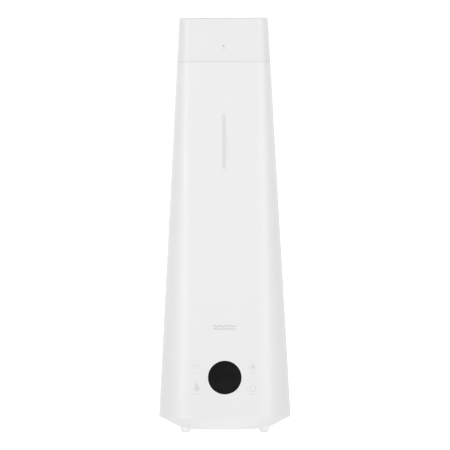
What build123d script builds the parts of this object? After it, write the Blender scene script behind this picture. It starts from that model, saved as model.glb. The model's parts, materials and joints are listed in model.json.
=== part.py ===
"""Tower cool mist humidifier, as the separate pieces that it comes apart into.

Millimetres, +Z up, front towards -Y. The origin is on the floor, under the centre of the tower. A fan at the
back of the base blows air into a water basin, where a piezo disc makes mist. The mist rises through the tank's
chimney to a nozzle in the lift-off cap.
"""

import os
from math import cos, radians, sin, tan

from build123d import *

# ---------------------------------------------------------------- driving dimensions
HEIGHT = 640.0  # floor to the rim of the cap
SKIRT_Z = 24.5  # lower edge of the tower housing
SEAM_Z = 573.0  # upper edge of the tower housing, where the cap starts
BASE_HALF = 101.8  # half width of the housing at its lower edge
FLAT_HALF = 52.0  # half width of each flat side, the same at every height
DRAFT = 3.15  # lean of the four sides, degrees
WALL = 2.6  # moulded wall of the housing and the cap
SKIRT_ROUND = 2.4  # rounding of the housing's lower edge
SEAM_GAP = 0.2  # shadow gap between housing and cap
FIT = 0.4  # play between fixed mouldings
PLAY = 0.2  # play between pieces that locate each other
TOUCH = 0.1  # least gap between two pieces that rest against each other
BITE = 0.6  # how far a boss or a frame reaches into the wall it stands on
CLEAR = 1.0  # how far outside a face a cut starts
THROUGH = 8.0  # depth of a cut that passes right through a wall
PAN_Z = 6.0  # underside of the base pan
PAN_WALL = 2.5
FOOT_X, FOOT_Y = 61.0, 44.0
DISPLAY_Z = 88.8  # centre of the round display
DISPLAY_R = 25.6
KEY_X, KEY_Y = 43.0, 16.5  # touch keys, from the display's centre
WINDOW_Z = 450.2  # centre of the level window
WINDOW_LENGTH, WINDOW_WIDTH = 84.0, 4.4
GRILLE_Z = 84.0  # centre of the air inlet at the back
JACK_X, JACK_Z = -36.0, 40.0
DECK_Z = 153.0  # top of the basin's deck
BASIN_FLOOR_Z = 112.0
BASIN_HALF_X, BASIN_HALF_Y = 60.0, 44.0
TANK_Z = 156.0  # underside of the tank
TANK_TOP_Z = 592.0
TANK_HALF, TANK_CORNER = 64.0, 15.0
TANK_DRAFT = -0.13  # the tank opens slightly towards its top
TANK_WALL = 2.2
CHIMNEY_R, CHIMNEY_BORE_R = 23.0, 21.0
CHIMNEY_TOP_Z = 584.0
VALVE_X = 40.5  # float valve, under the tank's outlet
VALVE_TRAVEL = 4.5
LEVEL_X = -40.0  # low water float
LEVEL_TRAVEL = 13.5
FAN_Y, FAN_Z = 36.0, 30.0
DUCT_X, DUCT_Y = 22.0, -34.0
PILLAR_X, PILLAR_Y = 45.0, 36.0  # posts that hang from the basin and take the pan's screws
BOARD_Y, BOARD_Z = -50.0, 20.0
DISH_Z = 630.0  # floor of the filling dish in the cap
SCREW_R, PILOT_R, CLEAR_R = 1.4, 1.5, 1.8  # self-tapping screws: shank, pilot hole, clearance hole
SCREW_HEAD, HEAD_R, SMALL_HEAD_R = 1.8, 3.0, 2.6

os.makedirs("parts", exist_ok=True)


# ---------------------------------------------------------------- shared shapes
def save(piece, label):
    """Labels a finished piece and writes its STEP file."""
    piece.part.label = label
    export_step(piece.part, f"parts/{label}.step")


def half_width(z, inset=0.0):
    """Half width of the tower at height z, inset from its outer face."""
    return BASE_HALF - inset - (z - SKIRT_Z) * tan(radians(DRAFT))


def tower_block(bottom, top, inset=0.0, mode=Mode.ADD):
    """The tower's leaning outline between two heights, inset from its outer face."""
    half = half_width(bottom, inset)
    with BuildSketch(Plane.XY.offset(bottom)) as outline:
        RectangleRounded(2 * half, 2 * half, half - FLAT_HALF)
    return extrude(outline.sketch, amount=top - bottom, taper=DRAFT, mode=mode)


def rounded_block(width, depth, corner, bottom, top, mode=Mode.ADD):
    """An upright block with rounded corners, centred on the tower's axis."""
    with BuildSketch(Plane.XY.offset(bottom)) as outline:
        RectangleRounded(width, depth, corner)
    return extrude(outline.sketch, amount=top - bottom, mode=mode)


def post(spot, radius, bottom, top, mode=Mode.ADD):
    """An upright cylinder at an (x, y) spot between two heights."""
    with Locations((*spot, bottom)):
        return Cylinder(radius, top - bottom, align=(Align.CENTER, Align.CENTER, Align.MIN), mode=mode)


def block(low, high, mode=Mode.ADD):
    """A plain box between two corners."""
    with Locations(low):
        return Box(*(h - l for l, h in zip(low, high)), align=(Align.MIN,) * 3, mode=mode)


def ring(outer, inner, bottom, top, spot=(0, 0)):
    """An upright ring."""
    post(spot, outer, bottom, top)
    post(spot, inner, bottom, top, mode=Mode.SUBTRACT)


def front_plane(z, depth=0.0):
    """Plane on the front face at height z, facing out, sunk by depth. Its Y axis runs up the face."""
    normal = (0, -cos(radians(DRAFT)), sin(radians(DRAFT)))
    return Plane(origin=(0, -half_width(z), z), x_dir=(1, 0, 0), z_dir=normal).offset(-depth)


def back_plane(z, depth=0.0):
    """Plane on the back face at height z, facing out, sunk by depth. Its X axis runs towards -X."""
    normal = (0, cos(radians(DRAFT)), sin(radians(DRAFT)))
    return Plane(origin=(0, half_width(z), z), x_dir=(-1, 0, 0), z_dir=normal).offset(-depth)


def screws(spots, head_r, head_z, shank_end_z, shank_r=SCREW_R):
    """Pan head screws at (x, y) spots. The head starts at head_z and the shank runs from it to shank_end_z."""
    up = 1 if shank_end_z > head_z else -1
    for spot in spots:
        seat = head_z + up * SCREW_HEAD
        post(spot, head_r, min(head_z, seat), max(head_z, seat))
        post(spot, shank_r, min(seat, shank_end_z), max(seat, shank_end_z))


def corners(x, y, centre=(0, 0)):
    """Four spots, mirrored about a centre."""
    return [(centre[0] + i * x, centre[1] + j * y) for i in (-1, 1) for j in (-1, 1)]


# ---------------------------------------------------------------- tower housing
LEDGE, LEDGE_INSET = 2.5, 14.0  # thickness of the inner ledge, and its inner edge from the outer face
DECK_BOSS_R, DECK_BOSS = 4.0, 12.0
DECK_SCREWS = corners(76.0, 76.0)
KEY_SPOTS = corners(KEY_X, KEY_Y)
DISPLAY_SCREWS = corners(49.0, 25.0)
DISPLAY_BOSS_R = 3.2
DISPLAY_BOARD_DEPTH = 12.0  # from the front face to the board's front
GRILLE_WIDTH, GRILLE_HEIGHT, GRILLE_CORNER = 76.0, 50.0, 6.0
GRILLE_STOP, GRILLE_FRAME = 2.0, 3.0  # the stop frame's reach inside and outside the opening
JACK_R = 6.4


def grille_outline(grow=0.0):
    """The air inlet's rounded outline, larger on every side by grow."""
    RectangleRounded(GRILLE_WIDTH + 2 * grow, GRILLE_HEIGHT + 2 * grow, GRILLE_CORNER + grow)


with BuildPart() as outer_housing:
    tower_block(SKIRT_Z, SEAM_Z)
    fillet(outer_housing.faces().sort_by(Axis.Z)[0].edges(), SKIRT_ROUND)
    tower_block(SKIRT_Z, SEAM_Z, WALL, mode=Mode.SUBTRACT)
    # inner ledge and bosses that the basin is screwed up against
    tower_block(DECK_Z, DECK_Z + LEDGE, WALL - BITE)
    tower_block(DECK_Z, DECK_Z + LEDGE, LEDGE_INSET, mode=Mode.SUBTRACT)
    for spot in DECK_SCREWS:
        post(spot, DECK_BOSS_R, DECK_Z, DECK_Z + DECK_BOSS)
        post(spot, PILOT_R, DECK_Z - CLEAR, DECK_Z + DECK_BOSS - 1, mode=Mode.SUBTRACT)
    # round hole for the display and bosses for its board
    with BuildSketch(front_plane(DISPLAY_Z, -CLEAR)):
        Circle(DISPLAY_R + PLAY)
    extrude(amount=-THROUGH, mode=Mode.SUBTRACT)
    with BuildSketch(front_plane(DISPLAY_Z, WALL - BITE)):
        with Locations(*DISPLAY_SCREWS):
            Circle(DISPLAY_BOSS_R)
    extrude(amount=-(DISPLAY_BOARD_DEPTH - WALL + BITE))
    with BuildSketch(front_plane(DISPLAY_Z, WALL + 1.4)):
        with Locations(*DISPLAY_SCREWS):
            Circle(PILOT_R)
    extrude(amount=-DISPLAY_BOARD_DEPTH, mode=Mode.SUBTRACT)
    # slot for the level window
    with BuildSketch(front_plane(WINDOW_Z, -CLEAR)):
        SlotOverall(WINDOW_LENGTH, WINDOW_WIDTH, rotation=90)
    extrude(amount=-THROUGH, mode=Mode.SUBTRACT)
    # air inlet at the back, with a stop frame behind it
    with BuildSketch(back_plane(GRILLE_Z, WALL - BITE)):
        grille_outline(GRILLE_FRAME)
    extrude(amount=-2.4)
    with BuildSketch(back_plane(GRILLE_Z, -CLEAR)):
        grille_outline(-GRILLE_STOP)
    extrude(amount=-THROUGH, mode=Mode.SUBTRACT)
    with BuildSketch(back_plane(GRILLE_Z, -CLEAR)):
        grille_outline()
    extrude(amount=-(CLEAR + WALL), mode=Mode.SUBTRACT)
    # hole for the power inlet
    with BuildSketch(back_plane(JACK_Z, -CLEAR)):
        with Locations((-JACK_X, 0)):
            Circle(JACK_R + PLAY)
    extrude(amount=-THROUGH, mode=Mode.SUBTRACT)
save(outer_housing, "outer_housing")

# ---------------------------------------------------------------- base pan, feet
PAN_HALF, PAN_CORNER = 72.0, 64.0
PAN_TOP_HALF, PAN_TOP_CORNER = 97.0, 45.0
PAN_RIM_Z, PAN_RIM = 24.0, 3.0  # the rim stands inside the housing
PAN_FLOOR_Z = PAN_Z + PAN_WALL
PAN_BEND_Z = PAN_RIM_Z + 1.2  # where the inside turns upright
PAN_BOSS_R, PAN_BOSS_Z = 6.0, 10.5
FAN_POST_R, BOARD_POST_R = 3.5, 3.0
FOOT_R, FOOT_TOP_Z = 6.0, 4.5
FOOT_CUP_R, FOOT_CUP_Z = 7.8, 3.0
PAN_SCREWS = corners(PILLAR_X, PILLAR_Y)
PAN_SCREW_END_Z = 23.0
FEET = corners(FOOT_X, FOOT_Y)
FAN_SCREWS = [(-28.0, FAN_Y - 28), (-28.0, FAN_Y + 28), (28.0, FAN_Y + 28)]
FAN_SCREW_LENGTH = 10.0  # below the fan's flange
BOARD_SCREWS = corners(34.0, 15.0, (0, BOARD_Y))
BOARD_SCREW_LENGTH = 7.0  # below the board
DRAIN_R, DRAIN_PITCH = 2.0, 12.0
PLATE_WIDTH, PLATE_HEIGHT, PLATE_Y = 58.0, 34.0, 26.0  # shallow panel for a rating plate

with BuildPart() as base_pan:
    with BuildSketch(Plane.XY.offset(PAN_Z)):
        RectangleRounded(2 * PAN_HALF, 2 * PAN_HALF, PAN_CORNER)
    with BuildSketch(Plane.XY.offset(PAN_RIM_Z)):
        RectangleRounded(2 * PAN_TOP_HALF, 2 * PAN_TOP_HALF, PAN_TOP_CORNER)
    loft(ruled=True)
    tower_block(PAN_RIM_Z, PAN_RIM_Z + PAN_RIM, WALL + FIT)
    for spot in FEET:
        post(spot, FOOT_CUP_R, FOOT_CUP_Z, PAN_FLOOR_Z + 1)
    # hollow inside, with the same lean as the outside
    with BuildSketch(Plane.XY.offset(PAN_FLOOR_Z)):
        RectangleRounded(2 * (PAN_HALF - 0.5), 2 * (PAN_HALF - 0.5), PAN_CORNER - 0.5)
    rim_width, rim_corner = 2 * (PAN_TOP_HALF - PAN_WALL), PAN_TOP_CORNER - PAN_WALL
    with BuildSketch(Plane.XY.offset(PAN_BEND_Z)):
        RectangleRounded(rim_width, rim_width, rim_corner)
    loft(ruled=True, mode=Mode.SUBTRACT)
    rounded_block(rim_width, rim_width, rim_corner, PAN_BEND_Z, PAN_RIM_Z + PAN_RIM, mode=Mode.SUBTRACT)
    # screw bosses, and posts for the fan and the main board
    for spot in PAN_SCREWS:
        post(spot, PAN_BOSS_R, PAN_FLOOR_Z, PAN_BOSS_Z)
        post(spot, CLEAR_R, PAN_Z, PAN_BOSS_Z, mode=Mode.SUBTRACT)
        post(spot, HEAD_R + 0.5, PAN_Z, PAN_Z + PLAY + SCREW_HEAD, mode=Mode.SUBTRACT)
    for spot in FAN_SCREWS:
        post(spot, FAN_POST_R, PAN_FLOOR_Z, FAN_Z)
        post(spot, PILOT_R, FAN_Z - FAN_SCREW_LENGTH - 1, FAN_Z, mode=Mode.SUBTRACT)
    for spot in BOARD_SCREWS:
        post(spot, BOARD_POST_R, PAN_FLOOR_Z, BOARD_Z)
        post(spot, PILOT_R, BOARD_Z - BOARD_SCREW_LENGTH - 1, BOARD_Z, mode=Mode.SUBTRACT)
    # seats for the foot pads, drain holes, and a shallow panel on the underside
    for spot in FEET:
        post(spot, FOOT_R + PLAY, FOOT_CUP_Z, FOOT_TOP_Z, mode=Mode.SUBTRACT)
    for x in (-DRAIN_PITCH, 0.0, DRAIN_PITCH):
        post((x, -DRAIN_PITCH), DRAIN_R, PAN_Z, PAN_FLOOR_Z, mode=Mode.SUBTRACT)
    with BuildSketch(Plane.XY.offset(PAN_Z)):
        with Locations((0, PLATE_Y)):
            RectangleRounded(PLATE_WIDTH, PLATE_HEIGHT, 3)
    extrude(amount=0.5, mode=Mode.SUBTRACT)
save(base_pan, "base_pan")

for number, spot in enumerate(FEET, 1):
    with BuildPart() as rubber_foot:
        post(spot, FOOT_R, 0.0, FOOT_TOP_Z - TOUCH)
        fillet(rubber_foot.edges().sort_by(Axis.Z)[0], 0.8)
    save(rubber_foot, f"rubber_foot_{number}")

with BuildPart() as pan_screws:
    screws(PAN_SCREWS, HEAD_R, PAN_Z + PLAY, PAN_SCREW_END_Z)
save(pan_screws, "pan_screws")

# ---------------------------------------------------------------- water basin
TRANSDUCER_Z = BASIN_FLOOR_Z - 3  # underside of the basin's floor
BASIN_WALL, BASIN_CORNER = 2.2, 12.0
DECK = 3.0  # thickness of the deck
PAD_SPOTS, PAD_R = corners(56.0, 56.0), 4.0  # pads that carry the tank
PILLAR_R = 4.5
INLET_HALF_X, INLET_HALF_Y, INLET_WALL = 11.9, 6.9, 1.5  # air inlet, which stands above the water
INLET_TOP_Z = DECK_Z - 7
PIN_R, PIN_HEIGHT = 2.8, 29.0  # guide pin of the low water float
SEAT_R, SEAT_HEIGHT = 13.2, 4.6  # seat of the piezo disc, under the floor
DISC_HOLE_R = 9.0
CLAMP_PITCH_R = 20.0
CLAMP_SCREWS = [
    (CLAMP_PITCH_R * cos(radians(a)), CLAMP_PITCH_R * sin(radians(a))) for a in (90, 210, 330)
]
CLAMP_BOSS_R, CLAMP_PILOT_R, CLAMP_SHANK_R = 3.0, 1.25, 1.15
SEAT_Z_LOW = TRANSDUCER_Z - SEAT_HEIGHT
VALVE = (VALVE_X, 0)
LEVEL = (LEVEL_X, 0)


def basin_block(grow, bottom, top, mode=Mode.ADD):
    """The basin's outline between two heights, larger on every side by grow."""
    width, depth = 2 * (BASIN_HALF_X + grow), 2 * (BASIN_HALF_Y + grow)
    return rounded_block(width, depth, BASIN_CORNER + grow, bottom, top, mode=mode)


def inlet_tube(half_x, half_y, mode=Mode.ADD):
    """The air inlet's outside or its bore."""
    low = (DUCT_X - half_x, DUCT_Y - half_y, TRANSDUCER_Z - 8)
    return block(low, (DUCT_X + half_x, DUCT_Y + half_y, INLET_TOP_Z), mode=mode)


with BuildPart() as water_basin:
    tower_block(DECK_Z - DECK, DECK_Z, WALL + FIT)
    basin_block(BASIN_WALL, TRANSDUCER_Z, DECK_Z - DECK)
    basin_block(0, BASIN_FLOOR_Z, DECK_Z, mode=Mode.SUBTRACT)
    for spot in DECK_SCREWS:
        post(spot, CLEAR_R, DECK_Z - DECK, DECK_Z, mode=Mode.SUBTRACT)
    for spot in PAD_SPOTS:
        post(spot, PAD_R, DECK_Z, TANK_Z - PLAY)
    # posts down to the base pan
    for spot in PAN_SCREWS:
        post(spot, PILLAR_R, PAN_BOSS_Z + PLAY, TRANSDUCER_Z)
        post(spot, PILOT_R, PAN_BOSS_Z + PLAY, PAN_SCREW_END_Z + 2, mode=Mode.SUBTRACT)
    # air inlet, with a nipple below for the fan's duct
    inlet_tube(INLET_HALF_X, INLET_HALF_Y)
    inlet_tube(INLET_HALF_X - INLET_WALL, INLET_HALF_Y - INLET_WALL, mode=Mode.SUBTRACT)
    post(LEVEL, PIN_R, BASIN_FLOOR_Z, BASIN_FLOOR_Z + PIN_HEIGHT)
    # seat and screw bosses of the piezo disc
    post((0, 0), SEAT_R + BASIN_WALL, SEAT_Z_LOW, TRANSDUCER_Z)
    post((0, 0), SEAT_R, SEAT_Z_LOW, TRANSDUCER_Z, mode=Mode.SUBTRACT)
    post((0, 0), DISC_HOLE_R, TRANSDUCER_Z, BASIN_FLOOR_Z, mode=Mode.SUBTRACT)
    for spot in CLAMP_SCREWS:
        post(spot, CLAMP_BOSS_R, SEAT_Z_LOW, TRANSDUCER_Z)
        post(spot, CLAMP_PILOT_R, SEAT_Z_LOW, TRANSDUCER_Z, mode=Mode.SUBTRACT)
save(water_basin, "water_basin")

with BuildPart() as basin_screws:
    screws(DECK_SCREWS, HEAD_R, DECK_Z - DECK - SCREW_HEAD, DECK_Z + DECK_BOSS - 2)
save(basin_screws, "basin_screws")

with BuildPart() as deck_gasket:
    basin_block(4.0, DECK_Z, TANK_Z - PLAY)
    basin_block(0.8, DECK_Z, TANK_Z - PLAY, mode=Mode.SUBTRACT)
save(deck_gasket, "deck_gasket")

# ---------------------------------------------------------------- piezo disc and its holder
DISC_R, DISC = 10.0, 1.3
DISC_Z = TRANSDUCER_Z - 3.0
CLAMP_R, CLAMP_BORE_R, CLAMP = 24.0, 8.0, 1.9

with BuildPart() as transducer_gasket:
    ring(SEAT_R - PLAY, DISC_HOLE_R - 0.4, SEAT_Z_LOW + TOUCH, TRANSDUCER_Z)
    post((0, 0), DISC_R + 0.05, DISC_Z - TOUCH, DISC_Z + DISC + TOUCH, mode=Mode.SUBTRACT)
save(transducer_gasket, "transducer_gasket")

with BuildPart() as transducer_disc:
    post((0, 0), DISC_R, DISC_Z, DISC_Z + DISC)
save(transducer_disc, "transducer_disc")

with BuildPart() as transducer_clamp:
    ring(CLAMP_R, CLAMP_BORE_R, SEAT_Z_LOW - CLAMP, SEAT_Z_LOW)
    for spot in CLAMP_SCREWS:
        post(spot, PILOT_R, SEAT_Z_LOW - CLAMP, SEAT_Z_LOW, mode=Mode.SUBTRACT)
save(transducer_clamp, "transducer_clamp")

with BuildPart() as clamp_screws:
    screws(CLAMP_SCREWS, SMALL_HEAD_R, SEAT_Z_LOW - CLAMP - SCREW_HEAD, TRANSDUCER_Z - 1.0, CLAMP_SHANK_R)
save(clamp_screws, "clamp_screws")

# ---------------------------------------------------------------- low water float
FLOAT_Z, FLOAT_HEIGHT, FLOAT_R = BASIN_FLOOR_Z + 1, 10.0, 11.0
GROOVE_R, GROOVE_CORE_R, GROOVE = 8.0, 5.0, 3.5  # ring groove that holds the magnet
RETAINER_Z = FLOAT_Z + FLOAT_HEIGHT + LEVEL_TRAVEL + 0.5
SENSOR_BOARD_Z = TRANSDUCER_Z - 3.6
SENSOR_BOARD = 1.6

with BuildPart() as level_float:
    post(LEVEL, FLOAT_R, FLOAT_Z, FLOAT_Z + FLOAT_HEIGHT)
    fillet(level_float.edges().filter_by(GeomType.CIRCLE), 1.0)
    post(LEVEL, PIN_R + BITE, FLOAT_Z, FLOAT_Z + FLOAT_HEIGHT, mode=Mode.SUBTRACT)
    with BuildSketch(Plane.XY.offset(FLOAT_Z)):
        with Locations(LEVEL):
            Circle(GROOVE_R)
            Circle(GROOVE_CORE_R, mode=Mode.SUBTRACT)
    extrude(amount=GROOVE, mode=Mode.SUBTRACT)
save(level_float, "level_float")

with BuildPart() as float_magnet:
    ring(GROOVE_R - 0.05, GROOVE_CORE_R + 0.05, FLOAT_Z + TOUCH, FLOAT_Z + GROOVE - TOUCH, LEVEL)
save(float_magnet, "float_magnet")

with BuildPart() as float_retainer:
    ring(6.0, PIN_R + 0.05, RETAINER_Z, RETAINER_Z + 2.0, LEVEL)
save(float_retainer, "float_retainer")

with BuildPart() as level_sensor:
    block((LEVEL_X - 7, -4, SENSOR_BOARD_Z), (LEVEL_X + 7, 4, SENSOR_BOARD_Z + SENSOR_BOARD))
    block((LEVEL_X - 4, -2, SENSOR_BOARD_Z + SENSOR_BOARD), (LEVEL_X + 4, 2, TRANSDUCER_Z - TOUCH))
save(level_sensor, "level_sensor")

# ---------------------------------------------------------------- water tank
TANK_FLOOR = 2.6
HANDLE_Z, HANDLE, HANDLE_HALF_WIDTH = 566.0, 9.0, 7.0
HANDLE_REACH = TANK_HALF - TANK_WALL + 0.4  # the tank is a little wider up here
HANDLE_RING_R = 27.0
BRACKET, BRACKET_WIDTH, BRACKET_HEIGHT = 5.0, 18.0, 8.0
CHIMNEY_SKIRT_Z = TANK_Z - 8
NECK_Z = TANK_Z - 10
NECK_R, OUTLET_R = 13.0, 11.0


def tank_block(bottom, top, inset=0.0, mode=Mode.ADD):
    """The tank's outline between two heights, inset from its outer face."""
    half = TANK_HALF - inset - (bottom - TANK_Z) * tan(radians(TANK_DRAFT))
    with BuildSketch(Plane.XY.offset(bottom)) as outline:
        RectangleRounded(2 * half, 2 * half, half - TANK_HALF + TANK_CORNER)
    return extrude(outline.sketch, amount=top - bottom, taper=TANK_DRAFT, mode=mode)


with BuildPart() as water_tank:
    tank_block(TANK_Z, TANK_TOP_Z)
    fillet(water_tank.faces().sort_by(Axis.Z)[0].edges(), 2.0)
    tank_block(TANK_Z + TANK_FLOOR, TANK_TOP_Z, TANK_WALL, mode=Mode.SUBTRACT)
    # brackets that the handle rests on
    for side in (-1, 1):
        with Locations((side * (HANDLE_REACH - 1.2), 0, HANDLE_Z)):
            Box(BRACKET, BRACKET_WIDTH, BRACKET_HEIGHT, align=(Align.CENTER, Align.CENTER, Align.MAX))
    # chimney for the mist, open at both ends, with a short skirt into the basin
    post((0, 0), CHIMNEY_R, CHIMNEY_SKIRT_Z, CHIMNEY_TOP_Z)
    post((0, 0), CHIMNEY_BORE_R, CHIMNEY_SKIRT_Z, CHIMNEY_TOP_Z, mode=Mode.SUBTRACT)
    # outlet neck for the float valve
    post(VALVE, NECK_R, NECK_Z, TANK_Z)
    post(VALVE, OUTLET_R, NECK_Z, TANK_Z + TANK_FLOOR, mode=Mode.SUBTRACT)
save(water_tank, "water_tank")

with BuildPart() as tank_handle:
    block((-HANDLE_REACH, -HANDLE_HALF_WIDTH, HANDLE_Z), (HANDLE_REACH, HANDLE_HALF_WIDTH, HANDLE_Z + HANDLE))
    fillet(tank_handle.edges().filter_by(Axis.X), 3.0)
    post((0, 0), HANDLE_RING_R, HANDLE_Z, HANDLE_Z + HANDLE)
    post((0, 0), CHIMNEY_R + 0.3, HANDLE_Z, HANDLE_Z + HANDLE, mode=Mode.SUBTRACT)
save(tank_handle, "tank_handle")

# ---------------------------------------------------------------- float valve under the tank
SEAT_Z = NECK_Z - 4  # underside of the valve cap, where the seal closes
CAP_R, CAP_HEIGHT, CAP_PLATE = 15.4, 11.0, 2.0
HUB_R, VALVE_HUB_TOP = 4.0, SEAT_Z + 6
GRIP_RIBS, SPOKES = 18, 3
STEM_R = 2.0
SEAL_R, SEAL = 10.5, 2.0
SEAL_Z = SEAT_Z - VALVE_TRAVEL - SEAL - PLAY
BELL_R, BELL_WALL = 14.0, 1.4  # float, an open bell that traps air
BELL_Z, BELL_TOP_Z = SEAL_Z - 18, SEAL_Z - 1.6

with BuildPart() as valve_cap:
    post(VALVE, CAP_R, SEAT_Z, SEAT_Z + CAP_HEIGHT)
    with Locations((*VALVE, SEAT_Z)):
        with PolarLocations(CAP_R, GRIP_RIBS):
            Box(1.2, 2.0, CAP_HEIGHT, align=(Align.CENTER, Align.CENTER, Align.MIN))
    post(VALVE, NECK_R + 0.3, SEAT_Z + CAP_PLATE, SEAT_Z + CAP_HEIGHT, mode=Mode.SUBTRACT)
    post(VALVE, SEAL_R - 2, SEAT_Z, SEAT_Z + CAP_PLATE, mode=Mode.SUBTRACT)
    post(VALVE, HUB_R, SEAT_Z, VALVE_HUB_TOP)
    with Locations((*VALVE, SEAT_Z)):
        with PolarLocations(6.0, SPOKES):
            Box(6.0, 2.0, CAP_PLATE, align=(Align.CENTER, Align.CENTER, Align.MIN))
    post(VALVE, STEM_R + 0.3, SEAT_Z, VALVE_HUB_TOP, mode=Mode.SUBTRACT)
save(valve_cap, "valve_cap")

with BuildPart() as cap_gasket:
    ring(NECK_R, OUTLET_R, SEAT_Z + CAP_PLATE, NECK_Z - TOUCH, VALVE)
save(cap_gasket, "cap_gasket")

with BuildPart() as valve_stem:
    post(VALVE, STEM_R, SEAL_Z - 6, VALVE_HUB_TOP + 3)
    post(VALVE, SEAL_R - 2.5, SEAL_Z - 1.5, SEAL_Z - TOUCH)
    post(VALVE, HUB_R, SEAL_Z - 6, BELL_TOP_Z - 2 - PLAY)
save(valve_stem, "valve_stem")

with BuildPart() as stem_clip:
    ring(4.5, STEM_R + 0.05, VALVE_HUB_TOP + 0.3, VALVE_HUB_TOP + 1.5, VALVE)
save(stem_clip, "stem_clip")

with BuildPart() as valve_seal:
    ring(SEAL_R, STEM_R + 0.05, SEAL_Z, SEAL_Z + SEAL, VALVE)
save(valve_seal, "valve_seal")

with BuildPart() as valve_float:
    post(VALVE, BELL_R, BELL_Z, BELL_TOP_Z)
    fillet(valve_float.edges().sort_by(Axis.Z)[-1], 1.5)
    post(VALVE, BELL_R - BELL_WALL, BELL_Z, BELL_TOP_Z - 2, mode=Mode.SUBTRACT)
    post(VALVE, STEM_R + TOUCH, BELL_TOP_Z - 2, BELL_TOP_Z, mode=Mode.SUBTRACT)
save(valve_float, "valve_float")

# ---------------------------------------------------------------- fan and air duct
FAN_FLOOR_Z, FAN_TOP_Z, LID_TOP_Z = FAN_Z + 2, 54.0, 55.6
FAN = (0, FAN_Y)
FLANGE_HALF, INTAKE_R = 33.0, 20.0
DUCT_WALL = 1.8
SCROLL_R, SCROLL = 34.5, (1.5, FAN_Y - 1.5)  # outside of the scroll, set off from the impeller
OUTLET_LEFT, OUTLET_RIGHT, OUTLET_Y = DUCT_X - 14.0, DUCT_X + 14.0, -4.0
IMPELLER_R, BLADES, BLADE_R, BLADE_TURN = 28.5, 26, 25.2, 35.0
BLADE_CHORD, BLADE, BLADE_HEIGHT = 7.0, 1.0, 18.5
IMPELLER_Z = FAN_Z + 3.5
HOOP, HOOP_HEIGHT = 2.0, 1.5  # ring that ties the blade ends together
MOTOR_R, MOTOR_Z = 10.5, FAN_Z + 14
BEARING_R, BEARING_HEIGHT = 3.0, 4.0
SHAFT_R, SHAFT_Z, SHAFT_TOP_Z = 1.5, FAN_Z + 5.5, FAN_Z + 20.5
IMPELLER_HUB_Z, IMPELLER_HUB_TOP_Z = FAN_Z + 6, FAN_Z + 13
LID_RIBS = 6

with BuildPart() as fan_housing:
    block((-FLANGE_HALF, FAN_Y - FLANGE_HALF, FAN_Z), (FLANGE_HALF, FAN_Y + FLANGE_HALF, FAN_FLOOR_Z))
    fillet(fan_housing.edges().filter_by(Axis.Z), 5.0)
    post(SCROLL, SCROLL_R, FAN_Z, FAN_TOP_Z)
    block((OUTLET_LEFT, OUTLET_Y, FAN_Z), (OUTLET_RIGHT, FAN_Y, FAN_TOP_Z))
    post(SCROLL, SCROLL_R - DUCT_WALL, FAN_FLOOR_Z, FAN_TOP_Z, mode=Mode.SUBTRACT)
    block(
        (OUTLET_LEFT + DUCT_WALL, OUTLET_Y, FAN_FLOOR_Z),
        (OUTLET_RIGHT - DUCT_WALL, FAN_Y, FAN_TOP_Z),
        mode=Mode.SUBTRACT,
    )
    post(FAN, INTAKE_R, FAN_Z, FAN_FLOOR_Z, mode=Mode.SUBTRACT)
    for spot in FAN_SCREWS:
        post(spot, CLEAR_R, FAN_Z, FAN_FLOOR_Z, mode=Mode.SUBTRACT)
save(fan_housing, "fan_housing")

with BuildPart() as fan_lid:
    post(SCROLL, SCROLL_R, FAN_TOP_Z, LID_TOP_Z)
    block((OUTLET_LEFT, OUTLET_Y, FAN_TOP_Z), (OUTLET_RIGHT, FAN_Y, LID_TOP_Z))
    with Locations((*FAN, LID_TOP_Z)):
        with PolarLocations(16.0, LID_RIBS):
            Box(20.0, 1.2, 0.8, align=(Align.CENTER, Align.CENTER, Align.MIN))
save(fan_lid, "fan_lid")

with BuildPart() as fan_motor:
    post(FAN, MOTOR_R, MOTOR_Z, FAN_TOP_Z)
    chamfer(fan_motor.edges().sort_by(Axis.Z)[0], 1.0)
    post(FAN, BEARING_R + 0.05, MOTOR_Z, MOTOR_Z + BEARING_HEIGHT, mode=Mode.SUBTRACT)
    post(FAN, SHAFT_R + PLAY, MOTOR_Z + BEARING_HEIGHT, SHAFT_TOP_Z + 0.5, mode=Mode.SUBTRACT)
save(fan_motor, "fan_motor")

with BuildPart() as fan_bearing:
    ring(BEARING_R, SHAFT_R + TOUCH, MOTOR_Z, MOTOR_Z + BEARING_HEIGHT, FAN)
save(fan_bearing, "fan_bearing")

with BuildPart() as fan_shaft:
    post(FAN, SHAFT_R, SHAFT_Z, SHAFT_TOP_Z)
save(fan_shaft, "fan_shaft")

with BuildPart() as fan_impeller:
    post(FAN, IMPELLER_R, IMPELLER_HUB_TOP_Z - 2, IMPELLER_HUB_TOP_Z - 0.6)
    post(FAN, HUB_R, IMPELLER_HUB_Z, IMPELLER_HUB_TOP_Z)
    with Locations((*FAN, IMPELLER_Z)):
        with PolarLocations(BLADE_R, BLADES):
            standing = (Align.CENTER, Align.CENTER, Align.MIN)
            Box(BLADE_CHORD, BLADE, BLADE_HEIGHT, rotation=(0, 0, BLADE_TURN), align=standing)
    for bottom in (IMPELLER_Z, IMPELLER_Z + BLADE_HEIGHT - HOOP_HEIGHT):
        with BuildSketch(Plane.XY.offset(bottom)):
            with Locations(FAN):
                Circle(IMPELLER_R)
                Circle(IMPELLER_R - HOOP, mode=Mode.SUBTRACT)
        extrude(amount=HOOP_HEIGHT)
    post(FAN, SHAFT_R + 0.02, IMPELLER_HUB_Z, IMPELLER_HUB_TOP_Z, mode=Mode.SUBTRACT)
save(fan_impeller, "fan_impeller")

with BuildPart() as fan_screws:
    screws(FAN_SCREWS, HEAD_R - PLAY, FAN_FLOOR_Z + SCREW_HEAD, FAN_Z - FAN_SCREW_LENGTH + 1)
save(fan_screws, "fan_screws")

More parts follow.
